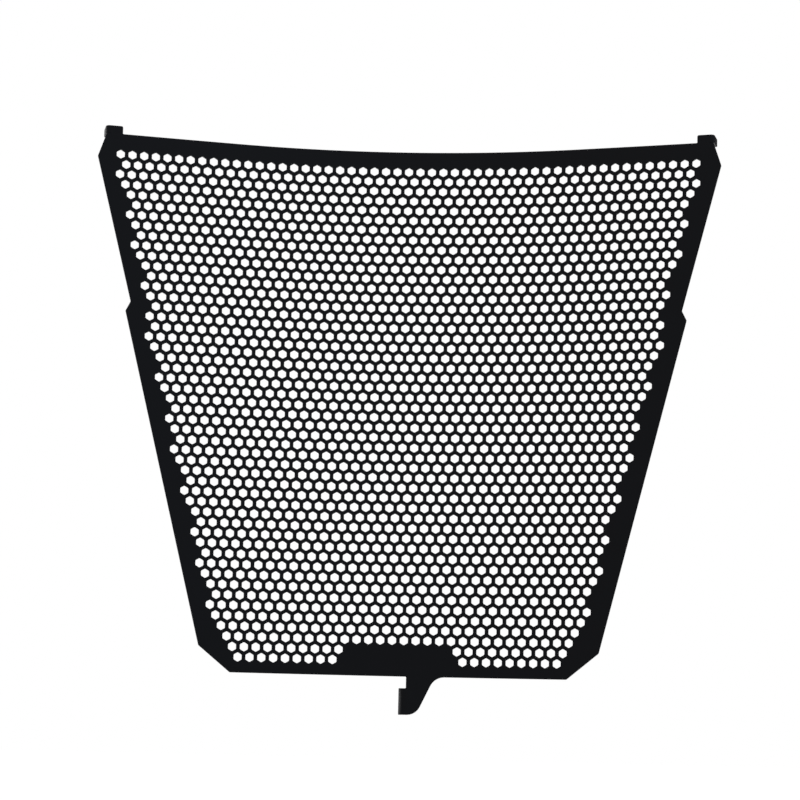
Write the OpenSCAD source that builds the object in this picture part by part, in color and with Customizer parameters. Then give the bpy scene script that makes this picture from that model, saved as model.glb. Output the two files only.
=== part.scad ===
/* [Sheet] */

// thickness of the sheet
sheet_t = 1.5; // [1:0.1:2]
// radius of the rolled middle, on its front face
roll_r = 402; // [380:1:440]
// half width of the rolled middle, along the sheet
roll_half = 102; // [84:1:119]
// radius of the two nearly flat wings
wing_r = 5000; // [3000:500:9000]

/* [Outline] */

// height of the top edge over the top row of holes
top_z = 12.3; // [10:0.1:13]
// half width at the top edge
shoulder_w = 184.5; // [184:0.1:186]
// half width at the widest corner
wide_w = 189.2; // [187:0.1:191]
// height of the widest corner
wide_z = -2; // [-6:0.1:2]
// half width above the side step
step_in_w = 166.2; // [163:0.1:168]
// height of the side step's inner corner
step_in_z = -88.9; // [-92:0.1:-84]
// half width below the side step
step_out_w = 169; // [168.5:0.1:172]
// height of the side step's outer corner
step_out_z = -94.6; // [-98:0.1:-93]
// half width at the top of the lower corner's chamfer
chamfer_w = 118.6; // [114:0.1:124]
// height of the chamfer's top
chamfer_z = -290.8; // [-294:0.1:-286]
// half width of the bottom edge
foot_w = 99.6; // [94:0.1:104]
// height of the bottom edge
edge_z = -306.2; // [-310:0.1:-305]

/* [Ears] */

// distance from the inner end of an ear to the shoulder beside it
ear_len = 9.6; // [7:0.1:16]
// how far the lug's outer face stands outside that shoulder
lug_out = 0.5; // [0:0.1:2]
// height of the ears' top
ear_z = 17.1; // [15:0.1:20]
// width of the slit under each lug, which frees it for the fold
slit = 0.1; // [0.1:0.05:0.5]
// inner radius of the lug's fold
lug_bend_r = 1; // [0.6:0.1:1.4]
// reach of the lug behind the front face
lug_reach = 12; // [8:0.5:16]

/* [Hook] */

// distance from the middle to the outer face of the folded tab
tab_u = 0.2; // [-2:0.1:2]
// inner radius of the tab's fold
tab_bend_r = 3; // [2:0.1:4]
// reach of the tab behind the front face
tab_reach = 12; // [9:0.5:18]
// height of the tab's upper end, where the relief notch stops
tab_z = -313; // [-315:0.1:-311]
// height of the hook's lower end
hook_z = -328.6; // [-332:0.1:-326]
// radius of the hook's rounded toe
toe_r = 8.4; // [7:0.1:10]
// radius of the inner round up to the bottom edge
heel_r = 9; // [7:0.1:10]
// lean of the hook's free side from the horizontal, in degrees
hook_lean = 64.4; // [58:0.1:72]

/* [Holes] */

// distance between neighbouring holes
pitch = 7; // [7:0.1:9]
// width of one hole
hole_d = 5.1; // [4:0.05:5.6]
// how far the middle of the outline lies beside the middle column
outline_shift = 0.65; // [0:0.05:2]
// solid band beside the holes on the upper sides, along a row
side_band = 10.5; // [9:0.1:13]
// the same band at the top of the lower sides
low_band = 11; // [9:0.1:13]
// the same band at the foot of the lower sides
low_band_foot = 12.1; // [9:0.1:14]
// the same band beside the chamfers
chamfer_band = 14.8; // [12:0.1:17]
// solid band under the last row
bottom_band = 8; // [6:0.1:9]
// half width of the bare plate in the last rows
plate_half = 33; // [0:1:60]
// height of the bare plate's top
plate_z = -288; // [-300:1:-240]

/* [Hidden] */

row_pitch = pitch * sqrt(3) / 2;
rows = floor((-edge_z - bottom_band) / row_pitch) + 1;
cols = ceil((wide_w + outline_shift) / pitch);
lap = 0.8;
spare = 20;

// The sheet is rolled in narrow flats, one column of holes wide, as a press brake
// bumps it. A fold line runs through every column of the even rows.
function fold(k) = pitch / (k * pitch <= roll_half ? roll_r : wing_r) * 180 / PI;
slopes = [for (k = 0, a = fold(0) / 2; k <= cols; k = k + 1, a = a + fold(k)) a];
folds = [for (k = 0, p = [0, 0]; k <= cols; p = p + pitch * [cos(slopes[k]), -sin(slopes[k])], k = k + 1) p];
function slope(k) = k >= 0 ? slopes[k] : -slopes[-k - 1];
function front(k) = k >= 0 ? folds[k] : [-folds[-k][0], folds[-k][1]];
function lean(k) = (slope(k) + slope(k - 1)) / 2;
function rear(k) = front(k) + sheet_t / cos((slope(k) - slope(k - 1)) / 2) * [sin(lean(k)), cos(lean(k))];

// A place on the front face, from its distance along the sheet.
function flat(s) = floor(s / pitch);
function at(s) = front(flat(s)) + (s - flat(s) * pitch) * [cos(slope(flat(s))), -sin(slope(flat(s)))];

// The half outline, laid flat: half width and height of each corner.
ear_in_w = shoulder_w - ear_len;
lug_start = shoulder_w + lug_out - lug_bend_r - sheet_t;
wing_mid = (roll_half + wide_w) / 2;
side_edge = [
  [shoulder_w, top_z],
  [wide_w, wide_z],
  [step_in_w, step_in_z],
  [step_out_w, step_out_z],
  [chamfer_w, chamfer_z],
  [foot_w, edge_z]
];

// The hook's two arcs and the straight side between them touch without a corner.
tab_start = tab_u + tab_bend_r + sheet_t;
side_dir = [sin(hook_lean), -cos(hook_lean)];
toe_c = [tab_start + lap, hook_z + toe_r];
heel_cz = edge_z - heel_r;
heel_cu = toe_c[0] + (toe_r + heel_r + cos(hook_lean) * (heel_cz - toe_c[1])) / sin(hook_lean);
heel_c = [heel_cu, heel_cz];

// The part stands on the middle of the tab's outer face.
tab_s = tab_start + outline_shift;
tab_a = slope(flat(tab_s));
tab_mid = (tab_bend_r + sheet_t + tab_reach) / 2;
tab_out = tab_bend_r + sheet_t;
origin = [
  at(tab_s)[0] - tab_out * cos(tab_a) + tab_mid * sin(tab_a),
  at(tab_s)[1] + tab_out * sin(tab_a) + tab_mid * cos(tab_a),
  (hook_z + tab_z) / 2
];

// The whole band of sheet after rolling, from the hook's end to the ears' top.
module rolled_band() {
  translate([0, 0, hook_z])
    linear_extrude(height = ear_z - hook_z)
      polygon(concat([for (k = [-cols:cols]) front(k)], [for (k = [cols:-1:-cols]) rear(k)]));
}

// What is cut off beside the outline, square to the wing it cuts.
module side_waste(side) {
  s = side * wing_mid + outline_shift;
  end_w = lug_start - lap / 2;
  translate([at(s)[0], at(s)[1], 0])
    rotate([90, 0, -slope(flat(s))])
      linear_extrude(height = 2 * spare, center = true)
        polygon([for (p = concat(
          [[end_w, ear_z + spare], [end_w, top_z]],
          side_edge,
          [[foot_w, hook_z - spare], [wide_w + spare, hook_z - spare], [wide_w + spare, ear_z + spare]]
        )) [side * (p[0] - wing_mid), p[1]]]);
}

// What is cut off over the top edge, between the ears.
module top_waste() {
  left = at(-ear_in_w + outline_shift)[0];
  right = at(ear_in_w + outline_shift)[0];
  reach = -at(wide_w)[1] + spare;
  translate([left, -reach, top_z])
    cube([right - left, 2 * reach, ear_z - top_z + spare]);
}

// The flat part of the hook, seen from the front.
module hook_shape() {
  difference() {
    union() {
      polygon([
        [tab_start, edge_z + 2],
        [tab_start, tab_z - lap],
        [tab_start + lap / 2, tab_z - lap],
        [tab_start + lap / 2, hook_z],
        [toe_c[0], hook_z],
        toe_c,
        toe_c + toe_r * side_dir,
        heel_c - heel_r * side_dir,
        heel_c,
        [heel_c[0], edge_z],
        [heel_c[0], edge_z + 2]
      ]);
      intersection() {
        translate(toe_c)
          circle(r = toe_r, $fn = 96);
        translate([toe_c[0], hook_z])
          square([toe_r, toe_r]);
      }
    }
    translate(heel_c)
      circle(r = heel_r, $fn = 96);
  }
}

// What is cut off under the bottom edge, round the hook.
module bottom_waste() {
  difference() {
    translate([-foot_w - lap, at(foot_w)[1] - spare, hook_z - spare])
      cube([2 * (foot_w + lap), 3 * spare, edge_z - hook_z + spare]);
    translate([outline_shift, 0, 0])
      rotate([90, 0, 0])
        linear_extrude(height = 5 * spare, center = true)
          hook_shape();
  }
}

// A strip that runs on from the sheet and folds back square to it.
module fold_back(r_in, reach) {
  r_out = r_in + sheet_t;
  difference() {
    intersection() {
      translate([0, r_out])
        circle(r = r_out, $fn = 96);
      translate([-r_out, 0])
        square([r_out, r_out]);
    }
    translate([0, r_out])
      circle(r = r_in, $fn = 96);
  }
  translate([-r_out, r_out])
    square([sheet_t, reach - r_out]);
  square([lap, sheet_t]);
}

module at_sheet(s, z) {
  translate([at(s)[0], at(s)[1], z])
    rotate([0, 0, -slope(flat(s))])
      children();
}

// The lug on each ear and the tab on the hook.
module lugs() {
  at_sheet(-lug_start + outline_shift, top_z + slit)
    linear_extrude(height = ear_z - top_z - slit)
      fold_back(lug_bend_r, lug_reach);
  at_sheet(lug_start + outline_shift, top_z + slit)
    mirror([1, 0, 0])
      linear_extrude(height = ear_z - top_z - slit)
        fold_back(lug_bend_r, lug_reach);
  at_sheet(tab_s, hook_z)
    linear_extrude(height = tab_z - hook_z)
      fold_back(tab_bend_r, tab_reach);
}

// Holes stay inside a solid band along the edges, and leave the plate bare.
function edge_at(z) = lookup(z, [for (p = side_edge) [p[1], p[0]]]);
function low_part(z) = (step_out_z - z) / (step_out_z - chamfer_z);
function low_band_at(z) = low_band + (low_band_foot - low_band) * low_part(z);
function band_at(z) = z > step_out_z ? side_band : z > chamfer_z ? low_band_at(z) : chamfer_band;
function in_field(w, z) = w <= edge_at(z) - band_at(z) && (w > plate_half || z > plate_z);

module hole_at(k, half, z) {
  c = half ? (front(k) + front(k + 1)) / 2 : front(k);
  a = half ? slope(k) : lean(k);
  translate([c[0], c[1], z])
    rotate([90, 0, -a])
      cylinder(d = hole_d, h = spare / 2, center = true, $fn = 24);
}

module holes() {
  for (r = [0:rows - 1])
    for (k = [-cols + 1:cols - 1])
      if (in_field(abs(k + (r % 2) / 2) * pitch, -r * row_pitch))
        hole_at(k, r % 2 == 1, -r * row_pitch);
}

module guard() {
  color([0.02, 0.02, 0.024])
    translate(-origin)
      difference() {
        union() {
          difference() {
            rolled_band();
            side_waste(-1);
            side_waste(1);
            top_waste();
            bottom_waste();
          }
          lugs();
        }
        holes();
      }
}

guard();
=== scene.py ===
import math

import bpy
import numpy as np
from mathutils import Euler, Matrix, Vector
from mathutils.geometry import delaunay_2d_cdt


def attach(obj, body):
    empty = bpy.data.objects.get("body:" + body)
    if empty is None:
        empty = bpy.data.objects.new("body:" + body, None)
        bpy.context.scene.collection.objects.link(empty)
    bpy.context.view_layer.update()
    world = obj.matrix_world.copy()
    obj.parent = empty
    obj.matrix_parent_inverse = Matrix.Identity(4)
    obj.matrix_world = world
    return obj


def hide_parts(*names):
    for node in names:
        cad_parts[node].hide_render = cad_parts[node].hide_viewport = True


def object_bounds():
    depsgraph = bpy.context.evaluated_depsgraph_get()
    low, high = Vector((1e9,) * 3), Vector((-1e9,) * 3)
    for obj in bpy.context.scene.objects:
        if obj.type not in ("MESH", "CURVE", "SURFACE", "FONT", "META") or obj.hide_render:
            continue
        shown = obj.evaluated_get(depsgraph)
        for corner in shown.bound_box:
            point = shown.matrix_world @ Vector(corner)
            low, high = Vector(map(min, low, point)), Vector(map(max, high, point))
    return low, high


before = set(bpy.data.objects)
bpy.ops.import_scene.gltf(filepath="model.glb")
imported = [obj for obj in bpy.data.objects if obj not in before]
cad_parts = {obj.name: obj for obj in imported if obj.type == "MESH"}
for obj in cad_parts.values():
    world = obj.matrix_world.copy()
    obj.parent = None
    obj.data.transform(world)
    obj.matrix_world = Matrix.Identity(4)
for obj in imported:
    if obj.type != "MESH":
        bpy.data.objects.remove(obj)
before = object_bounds()


class Wire:
    """A node socket that can be added, multiplied and mixed like a number."""

    def __init__(self, tree, socket):
        self.tree = tree
        self.socket = socket

    def node(self, kind, inputs=(), out=0, **settings):
        made = self.tree.nodes.new(kind)
        for name, value in settings.items():
            setattr(made, name, value)
        for name, value in dict(inputs).items():
            if isinstance(value, Wire):
                self.tree.links.new(value.socket, made.inputs[name])
            else:
                made.inputs[name].default_value = value
        return Wire(self.tree, made.outputs[out])

    def math(self, operation, first, second):
        return self.node("ShaderNodeMath", {0: first, 1: second}, operation=operation)

    def __add__(self, other):
        return self.math("ADD", self, other)

    def __radd__(self, other):
        return self.math("ADD", other, self)

    def __mul__(self, other):
        return self.math("MULTIPLY", self, other)

    def ramp(self, low, high):
        return self.node("ShaderNodeMapRange", {"Value": self, "From Min": low, "From Max": high},
                         interpolation_type="SMOOTHSTEP")

    def blend(self, dark, light):
        return self.node("ShaderNodeMix", {0: self, 6: dark, 7: light}, out=2, data_type="RGBA")


# The blank: one piece of thin sheet, cut by laser and laid flat here in millimetres. Across is
# measured from the middle of the outline and up from the top row of holes. The corners are cut
# with small radii, and the ears and the tab are still unfolded.
sheet = 1.5
top, ear_in, ear_top = 12.3, 174.9, 17.1
shoulder, shoulder_z, slit_end = 184.5, 12.26, 182.4
lug_in, lug_out, lug_reach = 1.0, 0.5, 12.0
lug_start = shoulder + lug_out - lug_in - sheet
lug_arc = math.pi / 2 * (lug_in + sheet / 2)
lug_end = lug_start + lug_arc + lug_reach - lug_in - sheet
tab_in, tab_reach, tab_start = 3.0, 12.0, 4.7
tab_arc = math.pi / 2 * (tab_in + sheet / 2)
tab_end = tab_start - tab_arc - (tab_reach - tab_in - sheet)
wide, step_in, step_out = (189.17, -1.96), (166.23, -88.86), (169.05, -94.62)
chamfer, edge_z, foot = (118.61, -290.76), -306.17, 99.58
heel, toe, notch, tab_top, hook_end = 21.54, 10.79, 4.68, -313.0, -328.6
slit_r, inner_r, shoulder_r, strip_r, corner_r, toe_r, heel_r = 0.01, 0.5, 0.8, 1.0, 1.2, 8.4, 9.0
side = [
    (ear_in, top, inner_r), (ear_in, ear_top, strip_r), (lug_end, ear_top, strip_r), (lug_end, top, strip_r),
    (slit_end, top, slit_r), (slit_end, shoulder_z, slit_r), (shoulder, shoulder_z, shoulder_r),
    (*wide, corner_r), (*step_in, corner_r), (*step_out, corner_r), (*chamfer, corner_r),
    (foot, edge_z, corner_r),
]
hook = [
    (heel, edge_z, heel_r), (toe, hook_end, toe_r), (tab_end, hook_end, strip_r), (tab_end, tab_top, strip_r),
    (notch, tab_top, inner_r), (notch, edge_z, inner_r),
]
corners = side + hook + [(-u, v, r) for u, v, r in reversed(side)]

# What is folded lies beyond these lines. The outline is divided finely on the folds and for a
# millimetre over the tab, and about twice for each hole elsewhere.
lug_floor, tab_roof, tab_near = top - 0.02, tab_top + 0.1, tab_top + 1
long_step, fine_step = 3.5, 0.5
arc_least, arc_pace, arc_base = 3, 3, 4


def rounded(points):
    """The closed outline with its corners rounded and its long edges divided."""
    path = []
    for i, (u, v, r) in enumerate(points):
        here = np.array([u, v])
        back = np.array(points[i - 1][:2]) - here
        on = np.array(points[(i + 1) % len(points)][:2]) - here
        back, on = back / np.hypot(*back), on / np.hypot(*on)
        half = math.acos(np.clip(back @ on, -1, 1)) / 2
        reach = r / math.tan(half)
        centre = here + (back + on) / np.hypot(*(back + on)) * r / math.sin(half)
        start, end = here + back * reach, here + on * reach
        a = math.atan2(*(start - centre)[::-1])
        turn = (math.atan2(*(end - centre)[::-1]) - a + math.pi) % (2 * math.pi) - math.pi
        steps = max(arc_least, round(abs(turn) * (arc_base + r) / arc_pace))
        for k in range(steps + 1):
            angle = a + turn * k / steps
            path.append(centre + r * np.array([math.cos(angle), math.sin(angle)]))
    full = []
    for i, here in enumerate(path):
        ahead = path[(i + 1) % len(path)]
        length = np.hypot(*(ahead - here))
        on_lug = here[1] > lug_floor and max(abs(here[0]), abs(ahead[0])) > lug_start
        on_tab = here[1] < tab_near and min(here[0], ahead[0]) < tab_start
        steps = max(1, math.ceil(length / (fine_step if on_lug or on_tab else long_step)))
        full += [here + (ahead - here) * k / steps for k in range(steps)]
    return np.array(full)


def inset(path, distance):
    """The same outline moved inward, and the outward direction at each of its points."""
    back = path - np.roll(path, 1, axis=0)
    on = np.roll(path, -1, axis=0) - path
    back = back / np.hypot(*back.T)[:, None]
    on = on / np.hypot(*on.T)[:, None]
    out = np.stack([-(back + on)[:, 1], (back + on)[:, 0]], axis=1)
    out = out / np.hypot(*out.T)[:, None]
    cosine = np.abs(out[:, 0] * -on[:, 1] + out[:, 1] * on[:, 0])
    sharpest = 0.5
    return path - out * (distance / np.maximum(cosine, sharpest))[:, None], out


def inside(points, path):
    """True for each point that lies within the closed outline."""
    crossings = np.zeros(len(points), int)
    for a, b in zip(path, np.roll(path, -1, axis=0)):
        if a[1] != b[1]:
            spans = (points[:, 1] >= min(a[1], b[1])) & (points[:, 1] < max(a[1], b[1]))
            across = a[0] + (points[:, 1] - a[1]) / (b[1] - a[1]) * (b[0] - a[0])
            crossings += spans & (points[:, 0] < across)
    return crossings % 2 == 1


# The cut edges are rounded by a bevel. Flat places are kept to a fine grid, so that the same
# place is the same number wherever it is worked out.
outline = rounded(corners)
bevel, grid_fine = 0.14, 1024
face_edge, outward = inset(outline, bevel)
face_edge = np.round(face_edge * grid_fine) / grid_fine

# The air holes: hexagons with a point up, 4.85 mm across their flats, with slightly rounded
# corners, in a honeycomb 7 mm apart. They keep clear of the edges by a solid band, and the last
# two rows leave the plate for the lettering bare. The field sits a little to the left.
pitch, row_pitch, field_shift = 7.0, 7.0 * math.sqrt(3) / 2, -0.65
rows, columns, spare_above, spare_below, plate_rows, plate_half = 50, 29, 3, 5, 2, 33
step_z, chamfer_z = -94.6, -290.8
side_band, low_band, low_band_more, chamfer_band = 10.5, 11.0, 1.1, 14.8
field_z = [-306.2, chamfer_z, step_z, -88.9, -2.0, top]
field_w = [99.6, 118.6, 169.0, 166.2, 189.2, shoulder]
cells, holes = [], []
for row in range(-spare_above, rows + spare_below):
    z = -row * row_pitch
    low_part = (step_z - z) / (step_z - chamfer_z)
    low = low_band + low_band_more * low_part
    band = side_band if z > step_z else chamfer_band if z < chamfer_z else low
    for column in range(-columns, columns + 1):
        w = (column + row % 2 / 2) * pitch
        cells.append((w + field_shift, z))
        field = 0 <= row < rows and abs(w) <= np.interp(z, field_z, field_w) - band
        holes.append(field and not (row >= rows - plate_rows and abs(w) < plate_half))
cells, holes = np.array(cells), np.array(holes)
turns = np.radians(90 + 60 * np.arange(6))
star = np.stack([np.cos(turns), np.sin(turns)], axis=1)
cell_ring = star * (pitch / 2) / math.cos(math.pi / 6)


def hexagon(half_flats, cut):
    """A hexagon with each corner replaced by two points, the same way round as the cell."""
    corner = star * half_flats / math.cos(math.pi / 6)
    step = np.roll(corner, -1, axis=0) - corner
    step = step / np.hypot(*step.T)[:, None]
    back = np.roll(corner, 1, axis=0) - corner
    back = back / np.hypot(*back.T)[:, None]
    return np.stack([corner + back * cut, corner + step * cut], axis=1).reshape(12, 2)


# One hole's wall, its bevelled rim on the front face, and the way the wall faces at each point.
hole_half, hole_cut, rim_cut, way_cut = 2.425, 0.30, 0.38, 0.18
hole_ring, rim_ring = hexagon(hole_half, hole_cut), hexagon(hole_half + bevel, rim_cut)
hole_out = -hexagon(1.0, way_cut)
hole_out = hole_out / np.hypot(*hole_out.T)[:, None]

# Flat points are kept once, with a number each: the corners between cells, the rims of the
# holes and the outline's inner edge. Bands without holes are filled with triangles that keep
# to the honeycomb's spacing, clear of the edge, so the sheet rolls without kinks.
flat, known = [], {}
edge_clear, whole, tiny = 2.2, 0, 1e-5


def point(p):
    key = tuple(round(float(value) * grid_fine) / grid_fine for value in p)
    if key not in known:
        known[key] = len(flat)
        flat.append(key)
    return known[key]


faces, rims, uses = [], [], {}
for cell in cells[holes]:
    ring = [point(p) for p in cell + cell_ring]
    rim = list(range(len(flat), len(flat) + 12))
    flat += [tuple(map(float, p)) for p in cell + rim_ring]
    rims.append((cell, rim))
    for k in range(6):
        faces.append((ring[k], ring[k - 5], rim[2 * k - 10], rim[2 * k + 1]))
        faces.append((ring[k], rim[2 * k + 1], rim[2 * k]))
        uses.setdefault(frozenset((ring[k], ring[k - 5])), []).append((ring[k], ring[k - 5]))
border = [pair[0] for pair in uses.values() if len(pair) == 1]
loop = [point(p) for p in face_edge]
border += [(loop[k - 1], loop[k]) for k in range(len(loop))]
grid = np.concatenate([cells[~holes]] + [cells[~holes] + corner for corner in cell_ring])
grid = np.unique(np.round(grid * grid_fine) / grid_fine, axis=0)
grid = grid[inside(grid, face_edge)]
from_edge = np.min(np.hypot(*(grid[:, None] - face_edge[None]).transpose(2, 0, 1)), axis=1)
filling = {point(p) for p in grid[from_edge > edge_clear]}
used = sorted({i for pair in border for i in pair} | filling)
order = {i: k for k, i in enumerate(used)}
lines = [(order[a], order[b]) for a, b in border]
filled = delaunay_2d_cdt([Vector(flat[i]) for i in used], lines, [], whole, tiny, True)
spots, fillers, sources = filled[0], filled[2], filled[3]
middles = np.array([np.mean([spots[i] for i in f], axis=0) for f in fillers])
nearest = np.array([np.argmin(np.hypot(*(cells - middle).T)) for middle in middles])
for f, kept, near in zip(fillers, inside(middles, face_edge), nearest):
    if kept and not holes[near]:
        faces.append(tuple(used[sources[i][0]] for i in f))

# The roll and the folds. The middle is rolled to a radius of 402 mm, the wings stay nearly flat
# and come forward, and the lugs and the tab fold back square on a small inner radius. The mark
# is the part's origin, the middle of the tab's outer face, from the middle hole of the top row.
roll_r, roll_half, wing_r = 402.0, 101.5, 5000.0
mark = np.array([0.9217952, 8.2422869, -320.8])


def shaped(u, v, depth, du, dv, dn):
    """Where a point of the flat sheet ends up, and a direction with it, both in metres."""
    bent_lug = (np.abs(u) > lug_start) & (v > lug_floor)
    bent_tab = (u < tab_start) & (v < tab_roof)
    start = np.where(bent_lug, np.sign(u) * lug_start, np.where(bent_tab, tab_start, u))
    away = np.where(bent_tab, -1.0, np.sign(u))
    s = start - field_shift
    rolled = np.clip(s, -roll_half, roll_half)
    wing = s - rolled
    first = rolled / roll_r
    angle = first + wing / wing_r
    x = roll_r * np.sin(first) + wing_r * (np.sin(angle) - np.sin(first))
    y = roll_r * (np.cos(first) - 1) + wing_r * (np.cos(angle) - np.cos(first))
    along = np.stack([np.cos(angle), -np.sin(angle)])
    rear = np.stack([np.sin(angle), np.cos(angle)])
    r_in = np.where(bent_tab, tab_in, lug_in)
    arc = np.where(bent_tab, tab_arc, lug_arc)
    past = np.where(bent_lug | bent_tab, np.abs(u - start), 0.0)
    fold = np.clip(past / arc, 0, 1) * math.pi / 2
    radius = r_in + sheet - depth
    out = radius * np.sin(fold)
    back = r_in + sheet - radius * np.cos(fold) + np.maximum(past - arc, 0) * (past > 0)
    away_dir = away * along
    turned = away_dir * np.cos(fold) + rear * np.sin(fold)
    normal = rear * np.cos(fold) - away_dir * np.sin(fold)
    flat_place = np.stack([x, y]) + away_dir * out + rear * back
    places = np.stack([flat_place[0], flat_place[1], v]) - mark[:, None]
    move = away * turned * du + normal * dn
    return places.T / 1000, np.stack([move[0], move[1], dv]).T


count = len(flat)
front_flat = np.array(flat)
rear_flat = front_flat.copy()
for cell, rim in rims:
    rear_flat[rim] = cell + hole_ring
zero = np.zeros(count)
front = shaped(*front_flat.T, zero, zero, zero, zero - 1)
rear = shaped(*rear_flat.T, zero + sheet, zero, zero, zero + 1)
points = [front, rear]
corners_of = [(f, f) for f in faces]
corners_of += [(f, f) for f in (tuple(count + i for i in reversed(face)) for face in faces)]


def cut_edge(path, out, ring, rear_round):
    """The cut wall under one loop of the faces, rounded at the front and, on the outline, behind."""
    base, n = sum(len(p[0]) for p in points), len(path)
    for depth in (bevel, sheet - bevel) if rear_round else (bevel,):
        points.append(shaped(*path.T, np.full(n, depth), *out.T, np.zeros(n)))
    for k in range(n):
        j = (k + 1) % n
        rear_k, rear_j = count + ring[k], count + ring[j]
        last_k, last_j = (base + n + k, base + n + j) if rear_round else (base + k, base + j)
        face = (ring[k], ring[j], base + j, base + k)
        corners_of.append((face, face))
        last = (last_k, last_j, rear_j, rear_k)
        if rear_round:
            face = (base + k, base + j, last_j, last_k)
            corners_of.append((face, face))
            corners_of.append((last, last))
        else:
            corners_of.append((last, (last_k, last_j, last_j, last_k)))


cut_edge(outline, outward, loop, True)
for cell, rim in rims:
    cut_edge(cell + hole_ring, hole_out, rim, False)
places = np.concatenate([p[0] for p in points])
normals = np.concatenate([p[1] for p in points])
normals = normals / np.linalg.norm(normals, axis=1)[:, None]
mesh = bpy.data.meshes.new("guard_sheet")
mesh.from_pydata(places.tolist(), [], [face for face, _ in corners_of])
mesh.update()
mesh.polygons.foreach_set("use_smooth", [True] * len(mesh.polygons))
mesh.normals_split_custom_set(normals[np.concatenate([ids for _, ids in corners_of])].tolist())
guard = bpy.data.objects.new("guard_sheet", mesh)
bpy.context.scene.collection.objects.link(guard)
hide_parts("guard")
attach(guard, "root")

# The coat: satin black powder, baked on. Close up it is a fine orange peel with a slightly
# uneven sheen, and it is a touch thinner, so a touch glossier, in broad faint patches.
coat = bpy.data.materials.new("coat")
coat.use_nodes = True
tree = coat.node_tree
shader = tree.nodes["Principled BSDF"]
place = Wire(tree, tree.nodes.new("ShaderNodeTexCoord").outputs["Object"])
peel = place.node("ShaderNodeTexNoise", {"Vector": place, "Scale": 900.0, "Detail": 3.0, "Roughness": 0.55})
grain = place.node("ShaderNodeTexNoise", {"Vector": place, "Scale": 3200.0, "Detail": 2.0, "Roughness": 0.6})
cloud = place.node("ShaderNodeTexNoise", {"Vector": place, "Scale": 14.0, "Detail": 4.0, "Roughness": 0.55})
patches = cloud.ramp(0.35, 0.65)
deep_black, pale_black = (0.0066, 0.0068, 0.0092, 1), (0.0102, 0.0104, 0.0136, 1)
tint = (patches * 0.7 + grain * 0.3).blend(deep_black, pale_black)
sheen = 0.40 + patches * 0.06 + grain * 0.10
relief = peel * 0.7 + grain * 0.3
bump = place.node("ShaderNodeBump", {"Strength": 0.25, "Distance": 0.00006, "Height": relief})
tree.links.new(tint.socket, shader.inputs["Base Color"])
tree.links.new(sheen.socket, shader.inputs["Roughness"])
tree.links.new(bump.socket, shader.inputs["Normal"])
shader.inputs["IOR"].default_value = 1.46
guard.data.materials.append(coat)

# The studio: a white backdrop that the camera sees as pure white. The guard itself is lit by a
# dim room in front, a little brighter above and cooler on the right, and by the backdrop behind,
# which a dark screen covers on the right.
world = bpy.data.worlds.new("studio")
bpy.context.scene.world = world
world.use_nodes = True
sky = world.node_tree
sky.nodes.clear()
ray = Wire(sky, sky.nodes.new("ShaderNodeLightPath").outputs["Is Camera Ray"])
look = ray.node("ShaderNodeTexCoord", out="Generated")
aside = ray.node("ShaderNodeSeparateXYZ", {"Vector": look}, out="X")
apart = ray.node("ShaderNodeSeparateXYZ", {"Vector": look}, out="Y")
above = ray.node("ShaderNodeSeparateXYZ", {"Vector": look}, out="Z")
floor_side = ray.node("ShaderNodeBackground", {"Color": (1.0, 1.0, 1.06, 1), "Strength": 0.13})
left_side = ray.node("ShaderNodeBackground", {"Color": (1.0, 1.0, 1.04, 1), "Strength": 0.208})
right_side = ray.node("ShaderNodeBackground", {"Color": (0.93, 1.06, 1.24, 1), "Strength": 0.262})
backdrop = ray.node("ShaderNodeBackground", {"Color": (1, 1, 1, 1), "Strength": 0.9})
white = ray.node("ShaderNodeBackground", {"Color": (1, 1, 1, 1), "Strength": 1.0})
room = ray.node("ShaderNodeMixShader", {0: aside.ramp(-0.6, 0.6), 1: left_side, 2: right_side})
room = ray.node("ShaderNodeMixShader", {0: above.ramp(-0.25, 0.35), 1: floor_side, 2: room})
screen = ray.node("ShaderNodeBackground", {"Color": (1, 1, 1, 1), "Strength": 0.06})
backside = ray.node("ShaderNodeMixShader", {0: aside.ramp(0.1, 0.5), 1: backdrop, 2: screen})
around = ray.node("ShaderNodeMixShader", {0: apart.ramp(0.0, 0.6), 1: room, 2: backside})
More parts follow.
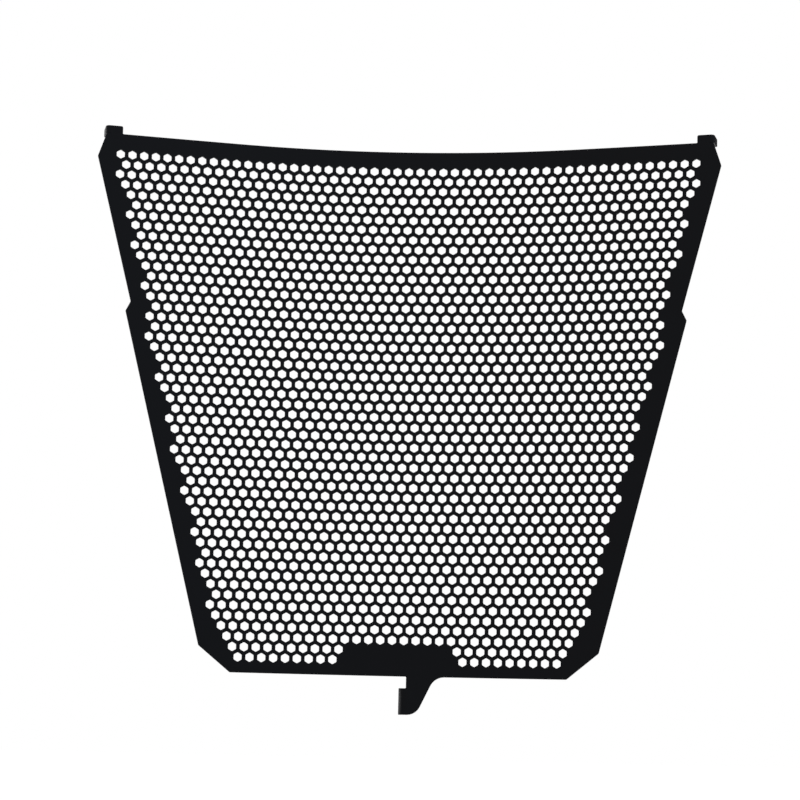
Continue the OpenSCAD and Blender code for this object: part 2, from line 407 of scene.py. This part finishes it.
seen = ray.node("ShaderNodeMixShader", {0: ray, 1: around, 2: white})
output = sky.nodes.new("ShaderNodeOutputWorld")
sky.links.new(seen.socket, output.inputs["Surface"])

# The floor: a plain pale sheet, well under the guard, which hangs clear of it. It takes the guard's
# soft shadow and is white elsewhere, and it lets the room's light through from below.
floor_drop, floor_half = 0.11, 5.0
floor_z = before[0][2] - floor_drop
floor_corners = [(x * floor_half, y * floor_half, floor_z) for x, y in ((-1, -1), (1, -1), (1, 1), (-1, 1))]
floor_mesh = bpy.data.meshes.new("floor")
floor_mesh.from_pydata(floor_corners, [], [(0, 1, 2, 3)])
floor = bpy.data.objects.new("floor", floor_mesh)
bpy.context.scene.collection.objects.link(floor)
pale = bpy.data.materials.new("pale_floor")
pale.use_nodes = True
tree = pale.node_tree
tree.nodes.clear()
ray = Wire(tree, tree.nodes.new("ShaderNodeLightPath").outputs["Is Camera Ray"])
matt = ray.node("ShaderNodeBsdfDiffuse", {"Color": (0.6, 0.6, 0.6, 1)})
glow = ray.node("ShaderNodeEmission", {"Color": (1, 1, 1, 1), "Strength": 0.83})
cover = ray.node("ShaderNodeAddShader", {0: matt, 1: glow})
clear = ray.node("ShaderNodeBsdfTransparent")
seen = ray.node("ShaderNodeMixShader", {0: ray, 1: clear, 2: cover})
output = tree.nodes.new("ShaderNodeOutputMaterial")
tree.links.new(seen.socket, output.inputs["Surface"])
floor_mesh.materials.append(pale)

bpy.context.scene.view_settings.view_transform = "Standard"
bpy.context.scene.view_settings.look = "None"

# The camera stands level with the guard's lower end and looks up a little, with a long lens
# shifted down, as in the photo.
camera = bpy.data.objects.new("camera", bpy.data.cameras.new("camera"))
bpy.context.scene.collection.objects.link(camera)
camera.location = (0.0398524, -1.2762026, -0.0127859)
camera.rotation_euler = Euler([math.radians(a) for a in (97.508928, -1.294804, 1.266346)])
camera.data.lens = 95.922
camera.data.sensor_width = 36.0
camera.data.shift_x = -0.021875
camera.data.shift_y = 0.053375
camera.data.clip_start = 0.01
bpy.context.scene.camera = camera
